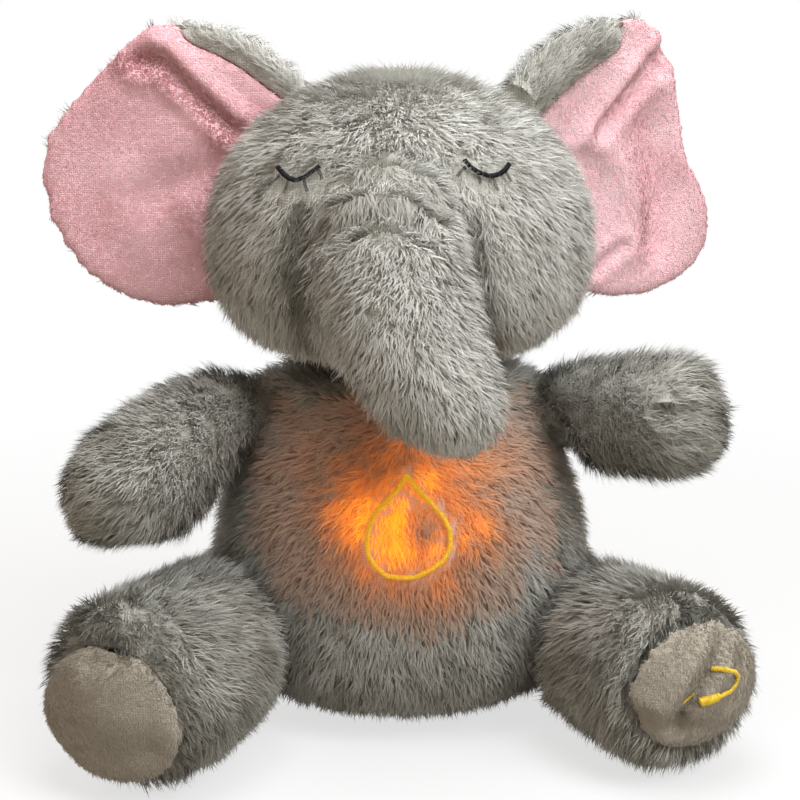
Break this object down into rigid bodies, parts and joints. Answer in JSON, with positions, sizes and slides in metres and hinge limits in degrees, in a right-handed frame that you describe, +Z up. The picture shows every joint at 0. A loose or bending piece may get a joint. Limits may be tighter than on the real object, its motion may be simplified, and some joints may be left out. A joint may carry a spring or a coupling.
{
  "type": "plush night light",
  "caption": "Seated long pile plush elephant with a light and sound module in its belly, pressed through the stitched drop, and a press switch behind the marked sole.",
  "frame": {"origin": "middle of the flat seat under the torso, on the floor", "axes": "+Z up, -Y the way the toy faces, +X the toy's own left"},
  "size_m": [0.2533, 0.2006, 0.2503],
  "materials": {
    "fur": "matte",
    "sole_velour": "matte",
    "ear_velour": "matte",
    "wadding": "matte",
    "gold_thread": "satin",
    "black_thread": "satin",
    "pocket_cloth": "matte",
    "shell_plastic": "satin",
    "amber_dome": "gloss",
    "circuit_board": "satin",
    "led_lens": "gloss",
    "plated_steel": "satin",
    "magnet_steel": "satin",
    "speaker_cone": "matte",
    "cell_jacket": "satin",
    "black_plastic": "satin",
    "zip_tape_cloth": "matte",
    "lead_jacket": "matte"
  },
  "bodies": {
    "torso": {"torso_cover": "fur", "torso_stuffing": "wadding", "module_pocket": "pocket_cloth", "belly_drop_stitching": "gold_thread", "foot_lead_torso": "lead_jacket", "module_front_shell": "shell_plastic", "module_rear_shell": "shell_plastic", "module_screw_1": "plated_steel", "module_screw_2": "plated_steel", "module_screw_3": "plated_steel", "module_screw_4": "plated_steel", "main_board": "circuit_board", "switch_body": "black_plastic", "led_1": "led_lens", "led_2": "led_lens", "led_3": "led_lens", "led_4": "led_lens", "speaker_frame": "speaker_cone", "speaker_magnet": "magnet_steel", "mode_switch_body": "plated_steel", "battery_1": "cell_jacket", "battery_2": "cell_jacket", "battery_3": "cell_jacket", "contact_plate_right": "plated_steel", "contact_plate_left": "plated_steel", "zip_tape": "zip_tape_cloth", "zip_chain": "black_plastic"},
    "head": {"head_cover": "fur", "head_stuffing": "wadding", "eye_stitching_right": "black_thread", "eye_stitching_left": "black_thread"},
    "trunk": {"trunk_cover": "fur", "trunk_stuffing": "wadding"},
    "ear_right": {"ear_back_right": "fur", "ear_front_right": "ear_velour"},
    "ear_left": {"ear_back_left": "fur", "ear_front_left": "ear_velour"},
    "arm_right": {"arm_right_cover": "fur", "arm_right_stuffing": "wadding"},
    "arm_left": {"arm_left_cover": "fur", "arm_left_stuffing": "wadding"},
    "leg_right": {"leg_right_cover": "fur", "leg_right_stuffing": "wadding", "sole_pad_right": "sole_velour"},
    "leg_left": {"leg_left_cover": "fur", "leg_left_stuffing": "wadding", "sole_pad_left": "sole_velour", "note_stitching": "gold_thread", "foot_switch_housing": "shell_plastic", "foot_lead_leg": "lead_jacket"},
    "tail": {"tail": "fur"},
    "light_button": {"light_button": "amber_dome", "switch_plunger": "black_plastic"},
    "foot_button": {"foot_switch_button": "black_plastic"},
    "mode_knob": {"mode_switch_knob": "black_plastic"},
    "battery_door": {"battery_door": "shell_plastic", "battery_door_screw": "plated_steel"},
    "zip_slider": {"zip_slider": "plated_steel"},
    "zip_pull": {"zip_pull": "plated_steel"}
  },
  "joints": [
    {"name": "head_nod", "type": "hinge", "parent": "torso", "child": "head", "pos_m": [0, 0, 0.15], "axis": [-1, 0, 0], "range_deg": [-8, 10], "stiffness_Nm_per_rad": 2},
    {"name": "trunk_lift", "type": "hinge", "parent": "head", "child": "trunk", "pos_m": [-0.003, -0.056, 0.18], "axis": [-1, 0, 0], "range_deg": [-4, 32], "stiffness_Nm_per_rad": 0.4},
    {"name": "ear_right_fold", "type": "hinge", "parent": "head", "child": "ear_right", "pos_m": [-0.056, 0.007, 0.186], "axis": [0.2419, 0, 0.9703], "range_deg": [-16, 24], "stiffness_Nm_per_rad": 0.3},
    {"name": "ear_left_fold", "type": "hinge", "parent": "head", "child": "ear_left", "pos_m": [0.056, 0.007, 0.186], "axis": [0.2419, 0, -0.9703], "range_deg": [-16, 24], "stiffness_Nm_per_rad": 0.3},
    {"name": "arm_right_raise", "type": "hinge", "parent": "torso", "child": "arm_right", "pos_m": [-0.049, -0.006, 0.1095], "axis": [-1, 0, 0], "range_deg": [-5, 26], "stiffness_Nm_per_rad": 0.5},
    {"name": "arm_left_raise", "type": "hinge", "parent": "torso", "child": "arm_left", "pos_m": [0.049, -0.006, 0.1095], "axis": [-1, 0, 0], "range_deg": [-30, 8], "stiffness_Nm_per_rad": 0.5},
    {"name": "leg_right_splay", "type": "hinge", "parent": "torso", "child": "leg_right", "pos_m": [-0.058, -0.008, 0.035], "axis": [0, 0, -1], "range_deg": [-4, 16], "stiffness_Nm_per_rad": 1},
    {"name": "leg_left_splay", "type": "hinge", "parent": "torso", "child": "leg_left", "pos_m": [0.058, -0.008, 0.0335], "axis": [0, 0, 1], "range_deg": [-4, 16], "stiffness_Nm_per_rad": 1},
    {"name": "tail_swing", "type": "hinge", "parent": "torso", "child": "tail", "pos_m": [0, 0.0505, 0.026], "axis": [0, 0, 1], "range_deg": [-20, 20], "stiffness_Nm_per_rad": 0.03},
    {"name": "light_button_press", "type": "slide", "parent": "torso", "child": "light_button", "axis": [0, 1, 0], "range_m": [0, 0.0012], "stiffness_N_per_m": 800},
    {"name": "foot_button_press", "type": "slide", "parent": "leg_left", "child": "foot_button", "axis": [-0.4311, 0.9023, 0], "range_m": [0, 0.0012], "stiffness_N_per_m": 800},
    {"name": "mode_slide", "type": "slide", "parent": "torso", "child": "mode_knob", "axis": [0, 0, 1], "range_m": [-0.0025, 0.0025]},
    {"name": "battery_door_hinge", "type": "hinge", "parent": "torso", "child": "battery_door", "pos_m": [0, 0.0013, 0.051], "axis": [-1, 0, 0], "range_deg": [0, 85]},
    {"name": "zip_run", "type": "hinge", "parent": "torso", "child": "zip_slider", "pos_m": [0, -0.0535, 0.052], "axis": [-1, 0, 0], "range_deg": [0, 22]},
    {"name": "zip_pull_flip", "type": "hinge", "parent": "zip_slider", "child": "zip_pull", "pos_m": [0, 0.05172, 0.09587], "axis": [1, 0, 0], "range_deg": [0, 120]}
  ]
}
